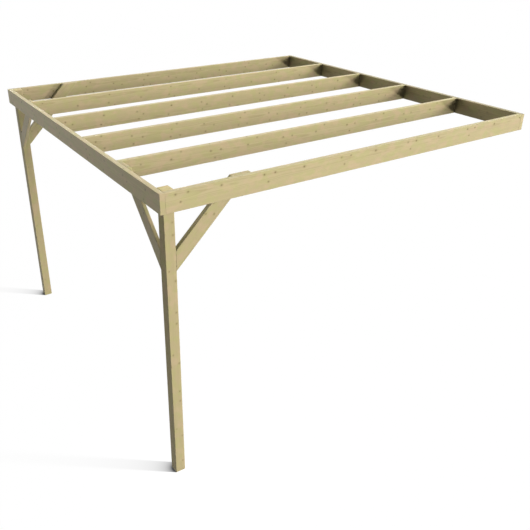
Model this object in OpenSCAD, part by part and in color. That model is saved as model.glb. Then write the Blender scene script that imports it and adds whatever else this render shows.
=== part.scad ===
// Wall-mounted wooden pergola: a flat, open roof frame on edge, bolted to a wall
// along its back and standing on two posts in front.
//
// The frame is a ladder. The wall plate and the front beam run the full width,
// and the rafters are cut between them, so the end grain of both long timbers
// shows at the sides. The posts stand in the two front corners, inside the frame
// and flush with its top. Four knee braces, two to a post, stop it from racking:
// each is bevelled to sit plumb on its post and is cut level with the frame's top.
//
// X runs along the wall, +Y points into the wall and +Z is up. The origin is the
// middle of the wall plate's back face, the face that is fastened to the wall.

/* [Frame] */
// Width along the wall, over the outer faces of the end rafters
frame_w = 3000; // [2600:10:3600]
// Projection from the wall to the outer face of the front beam
frame_d = 3150; // [2400:10:3600]
// Height of the top of the frame above the ground
frame_h = 2090; // [1900:10:2600]
// Rafters between the two end rafters
inner_rafters = 4; // [3:1:5]

/* [Timber] */
// Depth of the wall plate, front beam and rafters, which stand on edge
beam_depth = 125; // [95:1:170]
// Thickness of the wall plate, front beam and rafters
beam_t = 35; // [28:1:50]
// Side of the square posts
post_w = 70; // [60:1:100]
// Chamfer that eases the long edges of every timber
arris = 2; // [0.5:0.5:4]

/* [Knee braces] */
// How far below the frame the underside of a brace meets its post
brace_drop = 395; // [300:5:550]
// Slope of the braces above the horizontal, in degrees
brace_slope = 45; // [40:1:50]
// Width of the wide face of a brace
brace_w = 94; // [70:1:120]
// Thickness of the two braces under the end rafters
side_brace_t = 35; // [20:1:50]
// Thickness of the two braces behind the front beam
front_brace_t = 24; // [18:1:45]

/* [Hidden] */

// Levels, from the middle of the wall plate
frame_top = beam_depth / 2;
frame_underside = -beam_depth / 2;
ground = frame_top - frame_h;

// Faces of the frame, from the origin
side_x = frame_w / 2;
side_inner_x = side_x - beam_t;
plate_inner_y = -beam_t;
front_y = -frame_d;
beam_inner_y = front_y + beam_t;

// Faces of the posts that look into the frame
post_inner_x = side_inner_x - post_w;
post_inner_y = beam_inner_y + post_w;

// The rafters are set out in equal steps from the left-hand end, and each inner
// one is fixed on the left of its mark, so the last bay is the widest.
rafter_step = (frame_w - beam_t) / (inner_rafters + 1);
function rafter_right_x(i) = -side_x + i * rafter_step;

// Room between a front post and the nearest inner rafter
left_bay_run = rafter_right_x(1) - beam_t + post_inner_x;
right_bay_run = post_inner_x - rafter_right_x(inner_rafters);

// Pine that was planed and then pressure treated
pine = [0.78, 0.72, 0.54];
pine_shade = [0.72, 0.66, 0.48];

// Cross-section of a timber with its four long edges eased, from the origin
module eased_section(a, b) {
    polygon([
        [arris, 0], [a - arris, 0], [a, arris], [a, b - arris],
        [a - arris, b], [arris, b], [0, b - arris], [0, arris]
    ]);
}

// Timber along +X, t thick in Y and d deep in Z
module timber_x(length, t, d) {
    rotate([90, 0, 90])
        linear_extrude(height = length)
            eased_section(t, d);
}

// Timber along +Y, t thick in X and d deep in Z
module timber_y(length, t, d) {
    translate([0, length, 0])
        rotate([90, 0, 0])
            linear_extrude(height = length)
                eased_section(t, d);
}

// Square post along +Z
module timber_z(length, side) {
    linear_extrude(height = length)
        eased_section(side, side);
}

// Long timber on edge, across the full width, with its low Y face at y
module cross_timber(y) {
    translate([-side_x, y, frame_underside])
        timber_x(frame_w, beam_t, beam_depth);
}

module wall_plate() {
    color(pine_shade)
        cross_timber(plate_inner_y);
}

module front_beam() {
    color(pine)
        cross_timber(front_y);
}

// Rafter with its low X face at x, cut between the wall plate and the front beam
module rafter(x) {
    color(pine)
        translate([x, beam_inner_y, frame_underside])
            timber_y(plate_inner_y - beam_inner_y, beam_t, beam_depth);
}

// Post in a front corner, with its low X face at x
module post(x) {
    color(pine)
        translate([x, beam_inner_y, ground])
            timber_z(frame_h, post_w);
}

// Knee brace that leans from a post at x = 0 out along +X, with its flat face
// against the XZ plane. It is cut plumb on the post and level at the frame's
// top, and stops short of a rafter that crosses its head at rafter_x.
module knee_brace(t, rafter_x) {
    foot_z = frame_underside - brace_drop;
    rise = frame_top - foot_z;
    stock = rise / sin(brace_slope) + 2 * brace_w;
    reach = stock + rafter_x;
    difference() {
        intersection() {
            translate([0, 0, foot_z])
                rotate([0, -brace_slope, 0])
                    translate([-brace_w, 0, 0])
                        timber_x(stock, t, brace_w);
            translate([0, -t, foot_z - brace_w])
                cube([reach, 3 * t, rise + brace_w]);
        }
        translate([rafter_x, -t, frame_underside])
            cube([reach, 3 * t, 2 * beam_depth]);
    }
}

// Brace along the left end rafter, from the left post towards the wall
module side_brace() {
    color(pine)
        translate([-side_inner_x, post_inner_y, 0])
            mirror([1, -1, 0])
                knee_brace(side_brace_t, frame_d);
}

// Brace behind the front beam, from the left post to the right
module front_brace(bay_run) {
    color(pine)
        translate([-post_inner_x, beam_inner_y, 0])
            knee_brace(front_brace_t, bay_run);
}

// Opposite hand of a piece
module right_hand() {
    mirror([1, 0, 0])
        children();
}

wall_plate();
front_beam();
rafter(-side_x);  // end_rafter_left
rafter(side_inner_x);  // end_rafter_right
for (i = [1:inner_rafters])
    rafter(rafter_right_x(i) - beam_t);
post(-side_inner_x);  // post_left
post(post_inner_x);  // post_right
side_brace();  // side_brace_left
right_hand() side_brace();  // side_brace_right
front_brace(left_bay_run);  // front_brace_left
right_hand() front_brace(right_bay_run);  // front_brace_right
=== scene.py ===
# %% [markdown]
# # Dressing a wall-mounted timber pergola
# Fourteen planed softwood timbers make an open roof: a plate on the wall, a beam in front, six rafters,
# two posts and four knee braces. Their sizes and joints come from the packed carpentry model. What is made
# here is what a woodyard would add: eased arrises, end cuts, growth rings, knots and the yellow-green cast
# of pressure-treated pine. Everything is in metres, in the frame of the carpentry.

# %% Load the carpentry
import math
import random
from collections import namedtuple
from types import SimpleNamespace

import bmesh
import bpy
from mathutils import Matrix, Vector, noise


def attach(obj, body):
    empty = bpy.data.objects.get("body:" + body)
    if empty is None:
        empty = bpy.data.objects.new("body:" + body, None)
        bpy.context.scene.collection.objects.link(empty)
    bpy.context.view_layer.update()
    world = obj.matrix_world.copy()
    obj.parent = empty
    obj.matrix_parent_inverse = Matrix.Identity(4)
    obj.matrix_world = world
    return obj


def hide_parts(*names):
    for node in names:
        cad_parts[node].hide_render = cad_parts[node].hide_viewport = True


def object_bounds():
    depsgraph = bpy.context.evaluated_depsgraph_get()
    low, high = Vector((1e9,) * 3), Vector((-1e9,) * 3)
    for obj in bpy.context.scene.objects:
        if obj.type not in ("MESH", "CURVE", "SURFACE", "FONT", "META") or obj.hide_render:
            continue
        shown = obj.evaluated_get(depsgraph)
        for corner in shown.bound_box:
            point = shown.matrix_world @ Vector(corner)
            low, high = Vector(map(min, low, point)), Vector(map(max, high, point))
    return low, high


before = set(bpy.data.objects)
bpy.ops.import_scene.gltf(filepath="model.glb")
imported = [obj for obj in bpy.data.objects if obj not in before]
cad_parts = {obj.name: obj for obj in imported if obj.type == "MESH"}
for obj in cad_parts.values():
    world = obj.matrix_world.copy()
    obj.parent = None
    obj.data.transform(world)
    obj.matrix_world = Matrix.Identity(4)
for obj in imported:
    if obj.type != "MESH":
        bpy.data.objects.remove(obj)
cad_low, cad_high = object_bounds()
ground = cad_low.z
print("timbers:", len(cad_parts), "ground at", round(ground, 3))

# %% [markdown]
# ## A small language for wood finishes
# A finish is a graph of nodes. The one below takes about three hundred, and wiring those by hand can't be
# read back. So one value on its way through the graph is wrapped in a class with the usual operators:
# `ring * 0.4 + fibre` then adds the Math nodes itself. Vectors go through Vector Math and colours
# through Mix, because a Math node would turn a colour grey. Any other node comes from one method, which
# sets the node up first and feeds it afterwards.

# %% Values that can be added, multiplied and mixed
# the sockets of a Mix node that carry colours: share, first and second colour, and the result
MIX_SHARE, MIX_FIRST, MIX_SECOND, MIX_RESULT = 0, 6, 7, 2


class Strand:
    """One number, vector or colour inside a finish."""

    def __init__(self, finish, socket):
        self.finish = finish
        self.socket = socket

    def _join(self, operation, other, swapped=False):
        pair = [other, self] if swapped else [self, other]
        kinds = [item.socket.type for item in pair if isinstance(item, Strand)]
        if "RGBA" in kinds:
            settings = {"data_type": "RGBA", "blend_type": operation}
            feeds = {MIX_SHARE: 1.0, MIX_FIRST: pair[0], MIX_SECOND: pair[1]}
            return self.finish.node("ShaderNodeMix", settings, feeds, MIX_RESULT)
        kind = "ShaderNodeVectorMath" if "VECTOR" in kinds else "ShaderNodeMath"
        return self.finish.node(kind, {"operation": operation}, {0: pair[0], 1: pair[1]})

    def __add__(self, other):
        return self._join("ADD", other)

    def __radd__(self, other):
        return self._join("ADD", other, True)

    def __sub__(self, other):
        return self._join("SUBTRACT", other)

    def __rsub__(self, other):
        return self._join("SUBTRACT", other, True)

    def __mul__(self, other):
        return self._join("MULTIPLY", other)

    def __rmul__(self, other):
        return self._join("MULTIPLY", other, True)

    def __truediv__(self, other):
        return self._join("DIVIDE", other)

    def __pow__(self, other):
        return self._join("POWER", other)


print("operators ready:", [name for name in vars(Strand) if name.startswith("__r")])


# %% Nodes made one at a time
class Finish:
    """The nodes of one material, or of the room's light, built one at a time."""

    def __init__(self, owner):
        owner.use_nodes = True
        self.tree = owner.node_tree
        self.tree.nodes.clear()

    def node(self, kind, settings=None, feeds=None, output=0):
        """Adds a node, sets it up, feeds its sockets and gives back one of its outputs."""
        made = self.tree.nodes.new(kind)
        for key, value in (settings or {}).items():
            if key == "stops":
                ramp = made.color_ramp
                while len(ramp.elements) < len(value):
                    ramp.elements.new(0.5)
                for element, (place, shade) in zip(ramp.elements, value):
                    element.position = place
                    element.color = (shade, shade, shade, 1.0)
            else:
                setattr(made, key, value)
        for key, value in (feeds or {}).items():
            socket = made.inputs[key]
            if isinstance(value, Strand):
                self.tree.links.new(value.socket, socket)
            else:
                socket.default_value = value
        return Strand(self, made.outputs[output]) if made.outputs else None

    def stored(self, kind, name, output="Fac"):
        """A value kept on the mesh (GEOMETRY) or on the piece (OBJECT): a number, or a Vector."""
        settings = {"attribute_type": kind, "attribute_name": name}
        return self.node("ShaderNodeAttribute", settings, output=output)

    def parts(self, vector):
        """The three numbers of a vector."""
        split = self.node("ShaderNodeSeparateXYZ", {}, {0: vector}).socket.node
        return [Strand(self, output) for output in split.outputs]

    def grey(self, value):
        """A number as a colour."""
        return self.node("ShaderNodeCombineColor", {}, {0: value, 1: value, 2: value})

    def blend(self, first, second, share):
        """A colour that goes from first to second as share goes from 0 to 1."""
        settings = {"data_type": "RGBA", "clamp_factor": True}
        feeds = {MIX_SHARE: share, MIX_FIRST: first, MIX_SECOND: second}
        return self.node("ShaderNodeMix", settings, feeds, MIX_RESULT)

    def ease(self, value, low, high):
        """0 below low, 1 above high, and a soft step between them."""
        settings = {"interpolation_type": "SMOOTHSTEP"}
        return self.node("ShaderNodeMapRange", settings, {0: value, 1: low, 2: high})

    def clouds(self, place, scales, detail=2.0, rough=0.5):
        """Soft noise, drawn out by a different scale along, across and through the timber."""
        stretched = self.node("ShaderNodeVectorMath", {"operation": "MULTIPLY"}, {0: place, 1: scales})
        feeds = {"Vector": stretched, "Scale": 1.0, "Detail": detail, "Roughness": rough}
        return self.node("ShaderNodeTexNoise", {}, feeds)


print("helpers ready:", [name for name in vars(Finish) if not name.startswith("_")])

# %% [markdown]
# ## Reading a timber
# Grain runs along a piece of wood, whichever way the carpenter turned it. So each timber gets a frame of
# its own: x along the grain, y across the wide face from its upper edge down, z through the thickness.
# The posts run up, the braces at 45 degrees. Each timber also has its own place in the log: where the pith
# lay, how far along the stem it was cut, and how green the treatment left it. Those are kept as properties
# of the object, so one finish can serve every timber and still make each look different.

# %% The lengthways frame of every timber
LEAN = math.sqrt(0.5)
ALONG_WALL = Vector((1, 0, 0))
TO_WALL = Vector((0, 1, 0))
UP = Vector((0, 0, 1))
SIDE_LEAN = Vector((0, LEAN, LEAN)), Vector((0, LEAN, -LEAN))
FRONT_LEAN_LEFT = Vector((LEAN, 0, LEAN)), Vector((LEAN, 0, -LEAN))
FRONT_LEAN_RIGHT = Vector((-LEAN, 0, LEAN)), Vector((-LEAN, 0, -LEAN))

# run: along the grain; across: over the wide face; knot_along and knot_across: where the first knot sits;
# tone: how pale the board is; knotty: how dark its knots are; edges: how pale its narrow faces are beside
# the wide ones, a painted shade on the top and underside of the wall plate and the front beam
Timber = namedtuple("Timber", "run across slot knot_along knot_across tone knotty edges", defaults=[1.0])

TIMBERS = {
    "wall_plate": Timber(ALONG_WALL, -UP, "frame_timber", 0.21, 0.052, 1.18, 0.4, 0.55),
    "front_beam": Timber(ALONG_WALL, -UP, "frame_timber", 0.10, 0.155, 1.09, 0.75, 0.92),
    "end_rafter_left": Timber(TO_WALL, -UP, "rafter_timber", 0.070, 0.113, 0.88, 0.9),
    "rafter_1": Timber(TO_WALL, -UP, "rafter_timber", 0.068, 0.207, 1.005, 0.85),
    "rafter_2": Timber(TO_WALL, -UP, "rafter_timber", 0.070, 0.157, 1.00, 0.85),
    "rafter_3": Timber(TO_WALL, -UP, "rafter_timber", 0.067, 0.099, 1.01, 0.75),
    "rafter_4": Timber(TO_WALL, -UP, "rafter_timber", 0.066, 0.047, 1.02, 0.8),
    "end_rafter_right": Timber(TO_WALL, -UP, "rafter_timber", 0.062, 0.021, 1.02, 0.85),
    "post_left": Timber(UP, ALONG_WALL, "post_timber", 0.160, 0.220, 0.88, 0.55),
    "post_right": Timber(UP, ALONG_WALL, "post_timber", 0.008, 0.069, 0.970, 0.65),
    "side_brace_left": Timber(*SIDE_LEAN, "brace_timber", 0.12, 0.030, 0.92, 0.6),
    "side_brace_right": Timber(*SIDE_LEAN, "brace_timber", 0.37, 0.010, 0.96, 0.8),
    "front_brace_left": Timber(*FRONT_LEAN_LEFT, "brace_timber", 0.30, 0.020, 0.92, 0.6),
    "front_brace_right": Timber(*FRONT_LEAN_RIGHT, "brace_timber", 0.34, 0.140, 0.92, 0.6),
}


def lengthways(timber):
    """The turn that lays a timber's grain along x and its wide face along y."""
    return Matrix((timber.run, timber.across, timber.run.cross(timber.across))).to_4x4()


print("slots:", sorted({timber.slot for timber in TIMBERS.values()}))

# %% [markdown]
# ## Shaping a timber
# The planing mill leaves flat faces and rounded arrises; the saw leaves the ends square and a little
# broken at the edge. The outline is already right in the carpentry model, so its mesh is copied, turned
# into the timber's own frame and refined: the end cuts get a small broken edge, and cuts every few
# centimetres let the surface move in by a fraction of a millimetre, the way dried softwood does. All of it
# moves inward, so no timber grows. A plain box with a bevel would be quicker, but every edge would then
# catch the light in the same dead straight line.

# %% Cut the mesh at stations
STATION = 0.04
EDGE_LOOP = 0.008
WIDE_CUTS = 0.35, 0.65
MERGE = 1e-6


def slice_mesh(mesh, axis, places):
    """Cuts the mesh square to an axis at each place."""
    square = Vector([1.0 if i == axis else 0.0 for i in range(3)])
    for place in places:
        geometry = mesh.verts[:] + mesh.edges[:] + mesh.faces[:]
        bmesh.ops.bisect_plane(mesh, geom=geometry, dist=MERGE, plane_co=square * place, plane_no=square)


def slice_timber(mesh, size):
    """Cuts a timber along, across and through, closer together beside the arrises."""
    count = round(size.x / STATION)
    slice_mesh(mesh, 0, [size.x * i / count for i in range(1, count)])
    inner = [size.y * share for share in WIDE_CUTS]
    slice_mesh(mesh, 1, [EDGE_LOOP, *inner, size.y - EDGE_LOOP])
    slice_mesh(mesh, 2, [-size.z / 2 + EDGE_LOOP, 0.0, size.z / 2 - EDGE_LOOP])


print("a cut every", STATION, "m along the grain")

# %% Break the edge of the end cuts
END_EASE = 0.0009
SQUARE_EDGE = math.radians(40)
END_FACING = 0.5


def ease_end_cuts(mesh):
    """Breaks the edge all round both end cuts."""
    rim = []
    for edge in mesh.edges:
        if len(edge.link_faces) == 2 and edge.calc_face_angle(0.0) > SQUARE_EDGE:
            if any(abs(face.normal.x) > END_FACING for face in edge.link_faces):
                rim.append(edge)
    bmesh.ops.bevel(mesh, geom=rim, offset=END_EASE, segments=1, affect="EDGES", clamp_overlap=True)


print("end cuts eased by", END_EASE, "m")

# %% Let the surface settle
SURFACE_WANDER = 0.00035
ARRIS_WEAR = 0.0007
ARRIS_ZONE = 0.004
WORN_SHARE = 0.15
# swings of the noise in a metre along, across and through the timber
SLOW_SWINGS = 3, 14, 14
QUICK_SWINGS = 19, 30, 30
# how far apart two timbers lie in the noise
DRIFT = 7.1, 3.3, 1.7


def to_arris(place, size):
    """How far a point lies from the nearest arris."""
    return max(min(place.y, size.y - place.y), size.z / 2 - abs(place.z))


def swing(place, swings, drift):
    """Noise about zero, with its own number of swings in each direction."""
    return noise.noise(Vector([place[i] * swings[i] for i in range(3)]) + drift)


def settle_surface(mesh, size, seed):
    """Moves the surface in a little, more at the arrises than on the faces."""
    drift = Vector([seed * step for step in DRIFT])
    moves = {}
    for vert in mesh.verts:
        slow = swing(vert.co, SLOW_SWINGS, drift)
        quick = swing(vert.co, QUICK_SWINGS, drift)
        at_arris = max(0.0, 1.0 - to_arris(vert.co, size) / ARRIS_ZONE)
        depth = SURFACE_WANDER * (0.5 + slow) + ARRIS_WEAR * at_arris * max(0.0, quick + WORN_SHARE)
        moves[vert] = vert.normal * max(0.0, depth)
    for vert, move in moves.items():
        move.x = 0.0
        vert.co -= move


print("the surface moves in by about", SURFACE_WANDER, "m, the arrises by up to", ARRIS_WEAR, "m more")

# %% Shape one timber
FLAT = math.radians(0.5)


def shape_timber(name, seed):
    """Copies one timber out of the carpentry, in its own frame, and refines it."""
    mesh = bmesh.new()
    mesh.from_mesh(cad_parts[name].data)
    mesh.transform(lengthways(TIMBERS[name]))
    low = Vector([min(vert.co[i] for vert in mesh.verts) for i in range(3)])
    high = Vector([max(vert.co[i] for vert in mesh.verts) for i in range(3)])
    start = Vector((low.x, low.y, (low.z + high.z) / 2))
    mesh.transform(Matrix.Translation(-start))
    size = high - low
    bmesh.ops.remove_doubles(mesh, verts=mesh.verts, dist=MERGE)
    bmesh.ops.dissolve_limit(mesh, angle_limit=FLAT, verts=mesh.verts, edges=mesh.edges)
    mesh.normal_update()
    ease_end_cuts(mesh)
    slice_timber(mesh, size)
    mesh.normal_update()
    settle_surface(mesh, size, seed)
    return mesh, size, start


print("timbers to shape:", len(TIMBERS))

# %% [markdown]
# ## Telling the finish where it is
# The finish must know four things that it can't see from a point in space: the place in the timber's own
# lengthways frame; whether a face is an end cut, where the fibres are cut across and the wood looks darker;
# whether it is one of the narrow edges; and how near the arris is, where handling has rubbed the surface.
# They are stored on the mesh as attributes, because they then travel with the timber wherever it goes.

# %% Store what the finish needs
NARROW_FACING = 0.75


def store(data, name, kind, domain, values):
    """Adds an attribute to the mesh and fills it."""
    field = "vector" if kind == "FLOAT_VECTOR" else "value"
    data.attributes.new(name, kind, domain).data.foreach_set(field, values)


def mark_surface(data, size):
    """Stores the lengthways place, end cuts, narrow faces and nearness to the arris on the mesh."""
    store(data, "grain", "FLOAT_VECTOR", "POINT", [value for vert in data.vertices for value in vert.co])
    store(data, "end_cut", "FLOAT", "FACE", [abs(face.normal.x) for face in data.polygons])
    narrow = [1.0 if abs(face.normal.y) > NARROW_FACING else 0.0 for face in data.polygons]
    store(data, "narrow_face", "FLOAT", "FACE", narrow)
    rubbed = [max(0.0, 1.0 - to_arris(vert.co, size) / EDGE_LOOP) for vert in data.vertices]
    store(data, "arris", "FLOAT", "POINT", rubbed)


print("arrises rubbed over", EDGE_LOOP, "m")

# %% Make the pieces
SHARP = math.radians(32)
# the pith lies up to this far to the side of a timber's middle, and this far behind it
PITH_ASIDE = 0.045
PITH_BEHIND = 0.045, 0.085
FIRST_SEED = 11


def make_piece(name, seed):
    """Turns a shaped timber into an object, puts it where the carpentry has it and lets it ride there."""
    timber = TIMBERS[name]
    mesh, size, start = shape_timber(name, seed)
    data = bpy.data.meshes.new("planed_" + name)
    mesh.to_mesh(data)
    mesh.free()
    mark_surface(data, size)
    data.polygons.foreach_set("use_smooth", [True] * len(data.polygons))
    data.set_sharp_from_angle(angle=SHARP)
    data.transform(lengthways(timber).transposed() @ Matrix.Translation(start))
    piece = bpy.data.objects.new("planed_" + name, data)
    bpy.context.scene.collection.objects.link(piece)
    piece.modifiers.new("even_normals", "WEIGHTED_NORMAL").keep_sharp = True
    draw = random.Random(seed)
    pith_across = size.y / 2 + draw.uniform(-PITH_ASIDE, PITH_ASIDE)
    piece["pith"] = (0.0, pith_across, -draw.uniform(*PITH_BEHIND))
    piece["board"] = draw.random()
    piece["knot_place"] = (timber.knot_along, timber.knot_across, timber.tone)
    piece["knotty"] = timber.knotty
    # edges: painted shade on the narrow faces, the top and underside of the wall plate and front beam
    piece["edges"] = timber.edges
    # no timber throws light on its neighbours: that would fill the dark corners
    piece.visible_diffuse = False
    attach(piece, "root")
    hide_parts(name)
    return piece


pieces = {name: make_piece(name, seed) for seed, name in enumerate(TIMBERS, start=FIRST_SEED)}
bpy.context.view_layer.update()
print("faces in all:", sum(len(piece.data.polygons) for piece in pieces.values()))

# %% [markdown]
# ## Knots
# A knot is the foot of a branch. Pine grows its branches in whorls, so knots come in groups at a steady
# pitch along a board, and the grain parts round each of them like water round a stone. The groups are laid
# out once, as places in a repeat, and each timber starts the repeat somewhere else. The same formula that
# describes water round a stone, a push that fades with the square of the distance, bends the grain.

# %% Where the branches were
WHORL_PITCH = 0.600
ROW_PITCH = 0.304
# along, across and radius of each knot of one repeat
KNOTS = [
    (0.000, 0.000, 0.0066),
    (0.080, 0.000, 0.0062),
    (0.030, 0.050, 0.0062),
    (0.300, 0.005, 0.0070),
    (0.375, -0.035, 0.0056),
    (0.015, -0.055, 0.0058),
    (0.060, -0.090, 0.0060),
    (0.290, -0.055, 0.0066),
    (0.320, -0.125, 0.0072),
    (0.005, -0.115, 0.0062),
    (0.020, 0.120, 0.0050),
]
print("knots in one repeat:", len(KNOTS))

# %% Part the grain round the knots
# under 1, a knot is longer along the grain than across it
KNOT_STRETCH = 0.7
PUSH_STRENGTH = 1.6
PUSH_CORE = 1.1
SOFT_JOIN = 0.2


def repeat(finish, value, pitch):
    """Lets a length start again at every pitch, from minus half a pitch to plus half."""
    return finish.node("ShaderNodeMath", {"operation": "WRAP"}, {0: value, 1: pitch / 2, 2: -pitch / 2})


def lay_knots(finish, along, across):
    """Gives how near the closest knot is, in knot radii, and how far the grain is pushed aside."""
    nearest, push = None, None
    for knot_along, knot_across, radius in KNOTS:
        off_along = repeat(finish, along - knot_along, WHORL_PITCH)
        off_across = repeat(finish, across - knot_across, ROW_PITCH)
        squares = off_along * off_along * KNOT_STRETCH + off_across * off_across
        distance = squares ** 0.5 / radius
        area = radius * radius
        aside = off_across * (area * PUSH_STRENGTH) / (squares + area * PUSH_CORE)
        if nearest is None:
            nearest, push = distance, aside
        else:
            feeds = {0: nearest, 1: distance, 2: SOFT_JOIN}
            nearest = finish.node("ShaderNodeMath", {"operation": "SMOOTH_MIN"}, feeds)
            push = push + aside
    return nearest, push


print("knots repeat every", WHORL_PITCH, "m along and", ROW_PITCH, "m across")

# %% [markdown]
# ## Pressure-treated pine
# Rings first: a tree is a stack of cones, so the distance from the pith, with a slow wander and a little
# taper, cut into steps of about four millimetres, gives the long arches on a board's face and the arcs on
# its end in one go. Each ring is pale where it grew in spring and dark where summer stopped it. On top come
# the long fibres, streaks of heartwood, and patches where the copper salts went in more or less deeply,
# yellow-green beside pinkish straw. The dark hearts of the knots come last, each with a resin halo.
# The steps share one bundle of values, `here`, that holds what is known about a point of the wood.

# %% Colours, and how much of each shows at most
STRAW = (0.580, 0.490, 0.258, 1.0)
Tint = namedtuple("Tint", "colour share")
SUMMER_WOOD = Tint((0.415, 0.325, 0.142, 1.0), 0.50)
GREEN_CAST = Tint((0.525, 0.490, 0.205, 1.0), 0.55)
PINK_CAST = Tint((0.645, 0.485, 0.290, 1.0), 0.50)
RESIN = Tint((0.300, 0.215, 0.070, 1.0), 0.26)
KNOT_HEART = Tint((0.150, 0.105, 0.035, 1.0), 0.58)
END_SHADE = Tint((0.500, 0.420, 0.230, 1.0), 0.12)
RUBBED = Tint((0.700, 0.610, 0.350, 1.0), 0.35)


def stain(finish, colour, tint, where):
    """Lays a tint over a colour where it belongs."""
    return finish.blend(colour, tint.colour, where * tint.share)


print("summer wood covers at most", SUMMER_WOOD.share, "of the straw")

# %% A point of the wood
# how far apart two boards lie in the log
LOG_STEPS = 37.0, 11.0, 5.0
SLOW_CLOUDS = 1.3, 6.0, 6.0
KNOT_WANDER = 0.02
# where the knots of the narrow faces sit in the repeat
EDGE_OFFSET = 0.05


def read_point(finish):
    """Bundles what is stored on a timber with its place in the log and its nearness to a knot."""
    here = SimpleNamespace()
    place = finish.stored("GEOMETRY", "grain", "Vector")
    here.along, here.across, here.through = finish.parts(place)
    here.board = finish.stored("OBJECT", "board")
    here.narrow = finish.stored("GEOMETRY", "narrow_face")
    first_along, first_across, here.tone = finish.parts(finish.stored("OBJECT", "knot_place", "Vector"))
    steps = {axis: here.board * step for axis, step in enumerate(LOG_STEPS)}
    here.wander = place + finish.node("ShaderNodeCombineXYZ", {}, steps)
    here.slow = finish.clouds(here.wander, SLOW_CLOUDS, 1.0) - 0.5
    over_face = here.across * (1.0 - here.narrow) + (here.through + EDGE_OFFSET) * here.narrow
    along = here.along - first_along + here.slow * KNOT_WANDER
    here.nearest, here.push = lay_knots(finish, along, over_face - first_across)
    return here


print("boards lie", LOG_STEPS, "apart in the log")

# %% Growth rings
RING = 0.0043
# place in the ring, and how dark it is there: pale spring wood, then summer wood, then the next spring
RING_PROFILE = [(0.0, 0.0), (0.5, 0.12), (0.86, 1.0), (0.95, 0.8), (1.0, 0.0)]
RING_CLOUDS = 4.0, 26.0, 26.0
SLOW_WAVE = 0.020
QUICK_WAVE = 0.004
TAPER = 0.004


def summer_wood(finish, here):
    """How dark the ring is at a point, from its distance to the pith."""
    _, pith_across, pith_deep = finish.parts(finish.stored("OBJECT", "pith", "Vector"))
    side = here.across - here.push * (1.0 - here.narrow) - pith_across
    deep = here.through - here.push * here.narrow - pith_deep
    radius = (side * side + deep * deep) ** 0.5
    radius = radius + here.slow * SLOW_WAVE + here.along * TAPER
    radius = radius + (finish.clouds(here.wander, RING_CLOUDS, 1.0) - 0.5) * QUICK_WAVE
    step = finish.node("ShaderNodeMath", {"operation": "FRACT"}, {0: radius / RING})
    ring = finish.node("ShaderNodeValToRGB", {"stops": RING_PROFILE}, {0: step})
    return finish.node("ShaderNodeSeparateColor", {}, {0: ring})


print("a ring every", RING, "m")

# %% Hearts of the knots, and their resin
# in knot radii: solid inside the first, gone outside the second
HEART_REACH = 0.45, 1.10
RESIN_REACH = 0.90, 2.20
# some knots are tight and dark, others faint: where that noise lies, and how faint a knot may get
SOUND_PLACE = 1.7, 9.2, 4.4
SOUND_CLOUDS = 5.0, 21.0, 3.0
SOUND_STEP = 0.30, 0.50
FAINTEST_KNOT = 0.7


def knot_shades(finish, here):
    """How much of a knot's heart, and of the resin round it, a point has."""
    heart = 1.0 - finish.ease(here.nearest, *HEART_REACH)
    halo = 1.0 - finish.ease(here.nearest, *RESIN_REACH)
    sound = finish.ease(finish.clouds(here.wander + SOUND_PLACE, SOUND_CLOUDS, 0.0), *SOUND_STEP)
    knotty = finish.stored("OBJECT", "knotty") * (sound * (1.0 - FAINTEST_KNOT) + FAINTEST_KNOT)
    return heart * knotty, halo * knotty


print("a knot's heart fades out at", HEART_REACH[1], "radii")

# %% The colour of the wood
GREEN_PLACE, GREEN_CLOUDS, GREEN_STEP = (3.1, 0.7, 5.5), (13.0, 20.0, 15.0), (0.44, 0.62)
PINK_PLACE, PINK_CLOUDS, PINK_STEP = (8.4, 2.6, 1.2), (11.0, 17.0, 13.0), (0.48, 0.66)
RUB_CLOUDS, RUB_STEP = (14.0, 60.0, 60.0), (0.35, 0.65)
# how pale the wood is without its streaks and fibres, and what each of them and the board adds
DULLEST = 0.89
STREAK_LIGHT = 0.16
FIBRE_LIGHT = 0.14
BOARD_LIGHT = 0.04


def pine_colour(finish, here, end_tone_and_sheen):
    """Rings, treatment patches, streaks, knots and rubbed arrises; end_tone_and_sheen is how pale end cuts are."""
    green = finish.ease(finish.clouds(here.wander + GREEN_PLACE, GREEN_CLOUDS), *GREEN_STEP)
    pink = finish.ease(finish.clouds(here.wander + PINK_PLACE, PINK_CLOUDS), *PINK_STEP)
    colour = stain(finish, STRAW, SUMMER_WOOD, here.summer)
    colour = stain(finish, colour, GREEN_CAST, green)
    colour = stain(finish, colour, PINK_CAST, pink)
    light = DULLEST + here.streak * STREAK_LIGHT + here.fibre * FIBRE_LIGHT
    light = (light + (here.board - 0.5) * BOARD_LIGHT) * here.tone
    # painted sheen: the posts' end cuts are made paler, standing for the sheen on their tops
    light = light * (1.0 + here.cut * (end_tone_and_sheen - 1.0))
    # painted shade: narrow faces darkened by the edges value, on the wall plate and the front beam
    light = light * (1.0 + here.narrow * (finish.stored("OBJECT", "edges") - 1.0))
    colour = colour * finish.grey(light)
    colour = stain(finish, colour, RESIN, here.halo)
    colour = stain(finish, colour, KNOT_HEART, here.heart)
    colour = stain(finish, colour, END_SHADE, here.cut)
    rub = finish.ease(finish.clouds(here.wander, RUB_CLOUDS), *RUB_STEP)
    return stain(finish, colour, RUBBED, finish.stored("GEOMETRY", "arris") * rub)


print("streaks and fibres lift the wood from", DULLEST, "to", DULLEST + STREAK_LIGHT + FIBRE_LIGHT)

# %% The finish
FIBRE_CLOUDS = 9.0, 420.0, 420.0
STREAK_CLOUDS = 1.1, 46.0, 46.0
CUT_STEP = 0.3, 0.6
# roughness of planed wood, and what each thing adds to it or takes from it
SATIN = 0.40
SUMMER_SMOOTH, FIBRE_ROUGH, HEART_SMOOTH, CUT_ROUGH = 0.08, 0.14, 0.10, 0.10
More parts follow.
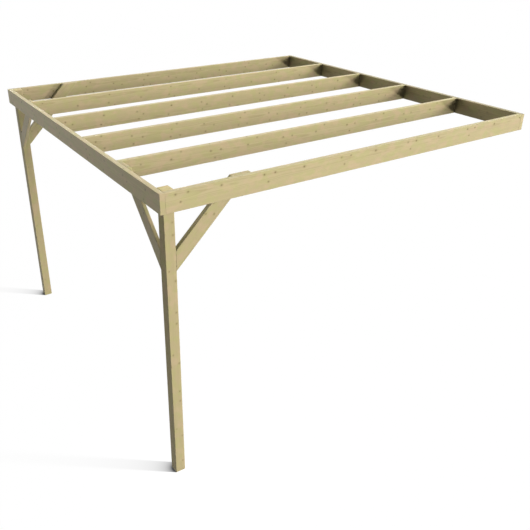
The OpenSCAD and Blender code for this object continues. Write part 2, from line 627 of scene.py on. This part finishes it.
# how far each thing stands out, or sinks in, beside the others; then the relief as a whole
SUMMER_RIDGE, FIBRE_RIDGE, STREAK_RIDGE, HEART_DIP = 0.35, 0.45, 0.1, 0.5
RELIEF = {"Strength": 0.55, "Distance": 0.0008}


def treated_pine(name, gloss, end_tone_and_sheen):
    """Pine with rings, fibres, knots and treatment patches."""
    material = bpy.data.materials.new(name)
    finish = Finish(material)
    here = read_point(finish)
    here.summer = summer_wood(finish, here)
    here.fibre = finish.clouds(here.wander, FIBRE_CLOUDS, 3.0, 0.6)
    here.streak = finish.clouds(here.wander, STREAK_CLOUDS)
    here.heart, here.halo = knot_shades(finish, here)
    here.cut = finish.ease(finish.stored("GEOMETRY", "end_cut"), *CUT_STEP)
    colour = pine_colour(finish, here, end_tone_and_sheen)
    roughness = SATIN - here.summer * SUMMER_SMOOTH + (here.fibre - 0.5) * FIBRE_ROUGH
    roughness = roughness - here.heart * HEART_SMOOTH + here.cut * CUT_ROUGH
    height = here.summer * SUMMER_RIDGE + here.fibre * FIBRE_RIDGE + here.streak * STREAK_RIDGE
    normal = finish.node("ShaderNodeBump", {}, {**RELIEF, "Height": height - here.heart * HEART_DIP})
    feeds = {"Base Color": colour, "Roughness": roughness, "Normal": normal, "IOR": gloss}
    shader = finish.node("ShaderNodeBsdfPrincipled", {}, feeds)
    finish.node("ShaderNodeOutputMaterial", {}, {0: shader})
    return material


# gloss, as an index of refraction, and how pale the end cuts are; on the posts a painted sheen on their
# tops
SLOT_LOOKS = {
    "frame_timber": (1.50, 0.92),
    "rafter_timber": (1.50, 1.00),
    "post_timber": (1.20, 1.36),
    "brace_timber": (1.44, 1.00),
}
finishes = {slot: treated_pine("pine_" + slot, *look) for slot, look in SLOT_LOOKS.items()}
for name, piece in pieces.items():
    piece.data.materials.append(finishes[TIMBERS[name].slot])
print("nodes in one finish:", len(finishes["rafter_timber"].node_tree.nodes))

# %% [markdown]
# ## The floor
# The pergola stands on a plain pale floor. Near a foot the floor is lit by a lamp of its own, and the post
# takes some of that light away: that is the short soft shadow. Further out the floor glows by itself. The
# two shares add up to one everywhere, so the floor stays an even white and has no visible end. A white
# floor lit by lamps alone would be simpler, but it fades with distance, and it throws so much light back
# that every underside comes out as pale as the tops. So the timbers don't see this floor either.

# %% Lit near the feet, glowing elsewhere
FOOT_SHADE = 0.0187
FOOT_FADE = 1.26
MOST_LIT = 0.95
FOOT_HEIGHT = 0.01


def foot_of(piece):
    """The middle of a post's lower end, measured along the floor."""
    lowest = [vert.co for vert in piece.data.vertices if vert.co.z < ground + FOOT_HEIGHT]
    middle = sum(lowest, Vector()) / len(lowest)
    return Vector((middle.x, middle.y, 0.0))


def pale_plaster(name, feet):
    """A white floor that is lit by its lamp close to the feet and glows everywhere else."""
    material = bpy.data.materials.new(name)
    finish = Finish(material)
    place = finish.node("ShaderNodeTexCoord", output="Object")
    away = [finish.node("ShaderNodeVectorMath", {"operation": "DISTANCE"}, {0: place, 1: foot}, "Value")
            for foot in feet]
    nearest = finish.node("ShaderNodeMath", {"operation": "MINIMUM"}, {0: away[0], 1: away[1]})
    # the lamp's share falls with distance from the nearest foot and the glow makes up the rest, so the cast
    # shadow is painted out further away
    fading = nearest ** -FOOT_FADE * FOOT_SHADE
    lit = finish.node("ShaderNodeMath", {"operation": "MINIMUM"}, {0: fading, 1: MOST_LIT})
    plaster = finish.node("ShaderNodeBsdfDiffuse", {}, {"Color": finish.grey(lit)})
    glow = finish.node("ShaderNodeEmission", {}, {"Color": finish.grey(1.0 - lit)})
    shader = finish.node("ShaderNodeAddShader", {}, {0: plaster, 1: glow})
    finish.node("ShaderNodeOutputMaterial", {}, {0: shader})
    return material


feet = [foot_of(pieces[name]) for name in ("post_left", "post_right")]
print("feet at", [tuple(round(value, 3) for value in foot) for foot in feet])

# %% Lay the floor
FLOOR_RADIUS = 90.0
FLOOR_SIDES = 96
floor_mesh = bmesh.new()
bmesh.ops.create_circle(floor_mesh, cap_ends=True, segments=FLOOR_SIDES, radius=FLOOR_RADIUS)
floor_data = bpy.data.meshes.new("pale_floor")
floor_mesh.to_mesh(floor_data)
floor_mesh.free()
floor = bpy.data.objects.new("pale_floor", floor_data)
floor.location.z = ground
floor.visible_diffuse = False
floor.visible_glossy = False
floor.visible_shadow = False
floor_data.materials.append(pale_plaster("pale_plaster", feet))
floor_data.materials[0].cycles.emission_sampling = "NONE"
bpy.context.scene.collection.objects.link(floor)
print("floor of", FLOOR_RADIUS, "m radius at", round(floor.location.z, 3))

# %% [markdown]
# ## Light
# The light is soft and comes from the right. A white room alone would light every side the same, so the
# room is nearly off as a lamp: it is white only where the camera looks past the timbers, and a little
# brighter above than below where a planed face mirrors it. Wide lamps far away do the rest. A wide lamp
# gives a shadow that fades slowly, a small one gives a crisp edge, and both kinds are needed where the
# rafters meet the wall plate: the wide ones make the dark corner, the small low one the slanting edge in
# front of it. Each lamp lights the timbers or the floor, never both, so that wood and floor can each be set
# to their own brightness.

# %% A white room
# what the room gives as a lamp, what a planed face mirrors, and what the camera sees
SKY, UNDER = 0.020, 0.006
SHEEN_ABOVE, SHEEN_BELOW = 1.25, 0.73
BACKDROP = 1.0
HORIZON = 0.05
world = bpy.data.worlds.new("white_room")
bpy.context.scene.world = world
room = Finish(world)
seen = room.node("ShaderNodeLightPath", output="Is Camera Ray")
mirrored = room.node("ShaderNodeLightPath", output="Is Glossy Ray")
towards = room.node("ShaderNodeTexCoord", output="Generated")
height = room.node("ShaderNodeSeparateXYZ", {}, {0: towards}, "Z")
raised = room.ease(height, -HORIZON, HORIZON)
soft = UNDER + raised * (SKY - UNDER)
sheen = SHEEN_BELOW + raised * (SHEEN_ABOVE - SHEEN_BELOW)
strength = soft + seen * (BACKDROP - soft) + mirrored * (sheen - soft)
white = room.node("ShaderNodeBackground", {}, {"Color": (1.0, 1.0, 1.0, 1.0), "Strength": strength})
room.node("ShaderNodeOutputWorld", {}, {0: white})
print("as a lamp the room gives", SKY, "from above and", UNDER, "from below")

# %% What a lamp is
# every lamp faces this place, just under the middle of the frame
MIDDLE = Vector((0.0, -1.5, -0.2))
# around: degrees from the right towards the wall; above: degrees over the level of the frame; reach: its
# distance; size: its width and height; brightness: how bright it makes a white board that faces it
Lamp = namedtuple("Lamp", "around above reach size brightness colour")


def group(name, members):
    """A named set of objects that a lamp can be told to light."""
    made = bpy.data.collections.new(name)
    for member in members:
        made.objects.link(member)
    return made


def hang_lamp(name, lamp, lit):
    """Hangs a soft rectangular lamp that faces the frame and lights one group only."""
    light = bpy.data.lights.new(name, "AREA")
    light.shape = "RECTANGLE"
    light.size, light.size_y = lamp.size
    light.energy = lamp.brightness * math.pi * math.pi * lamp.reach * lamp.reach
    light.color = lamp.colour
    holder = bpy.data.objects.new(name, light)
    around, above = math.radians(lamp.around), math.radians(lamp.above)
    level = math.cos(above)
    direction = Vector((level * math.cos(around), level * math.sin(around), math.sin(above)))
    holder.location = MIDDLE + direction * lamp.reach
    holder.rotation_euler = direction.to_track_quat("Z", "Y").to_euler()
    holder.visible_camera = False
    holder.visible_glossy = False
    holder.light_linking.receiver_collection = lit
    bpy.context.scene.collection.objects.link(holder)
    print(name, "hangs at", [round(value, 1) for value in holder.location])


timber_group = group("timbers", pieces.values())
floor_group = group("ground", [floor])

# %% Hang the lamps
WARM = (1.0, 0.99, 0.93)
DAYLIGHT = (1.0, 0.99, 1.02)
COOL = (0.94, 1.0, 1.20)
WHITE = (1.0, 1.0, 1.0)
TIMBER_LAMPS = {
    # the bright side: pale faces to the right, and the soft dark corners at the wall plate
    "broad_lamp": Lamp(50, 17, 40.0, (17.0, 8.0), 0.392, DAYLIGHT),
    "evening_lamp": Lamp(20, 10, 40.0, (11.0, 13.0), 0.33, DAYLIGHT),
    "hedge_lamp": Lamp(30, 8, 40.0, (15.0, 6.0), 0.14, DAYLIGHT),
    "level_lamp": Lamp(9, 0, 40.0, (9.0, 2.0), 0.107, COOL),
    # the slanting edge of the shadow in each corner
    "low_lamp": Lamp(55, -25, 40.0, (2.0, 2.0), 0.47, DAYLIGHT),
    # the tops
    "high_lamp": Lamp(110, 65, 20.0, (10.0, 10.0), 0.795, WARM),
    # the faces towards the garden
    "garden_lamp": Lamp(-120, 8, 40.0, (10.0, 8.0), 0.088, WARM),
    "lawn_lamp": Lamp(-104, -33, 40.0, (22.0, 18.0), 0.130, WARM),
    # the faces to the left
    "left_lamp": Lamp(165, 8, 40.0, (10.0, 10.0), 0.52, WARM),
}
for name, lamp in TIMBER_LAMPS.items():
    hang_lamp(name, lamp, timber_group)
hang_lamp("floor_lamp", Lamp(50, 15, 40.0, (2.0, 2.0), 3.86, WHITE), floor_group)
bpy.context.scene.view_settings.view_transform = "Standard"

# %% [markdown]
# ## The view
# The camera stands in the garden off the right-hand corner and looks down over the near end, so that the
# tops, the open bays and the braces under the frame all show at once. A longer lens from further back would
# flatten the frame; this one lets the near post stand out against the far one. The small shifts move the
# picture without tilting the camera, as an architect's camera does.

# %% Camera
AZIMUTH = math.radians(57.704)
HEIGHT_ANGLE = math.radians(26.901)
ROLL = math.radians(-0.003)
CAMERA_PLACE = (4.48084, -4.57637, 1.36878)
camera_data = bpy.data.cameras.new("garden_view")
camera_data.sensor_width = 36.0
camera_data.lens = 44.029
camera_data.shift_x = 0.06497
camera_data.shift_y = -0.02156
camera_data.clip_end = 200.0
camera = bpy.data.objects.new("garden_view", camera_data)
turn = Matrix.Rotation(AZIMUTH, 4, "Z") @ Matrix.Rotation(math.pi / 2 - HEIGHT_ANGLE, 4, "X")
camera.matrix_world = Matrix.Translation(CAMERA_PLACE) @ turn @ Matrix.Rotation(ROLL, 4, "Z")
bpy.context.scene.collection.objects.link(camera)
bpy.context.scene.camera = camera
print("camera", round(CAMERA_PLACE[2] - ground, 2), "m above the ground")

# %% [markdown]
# ## Nothing may grow
# The finished timbers replace the carpentry one for one, so the box round the pergola has to be the one
# that was measured at the start.
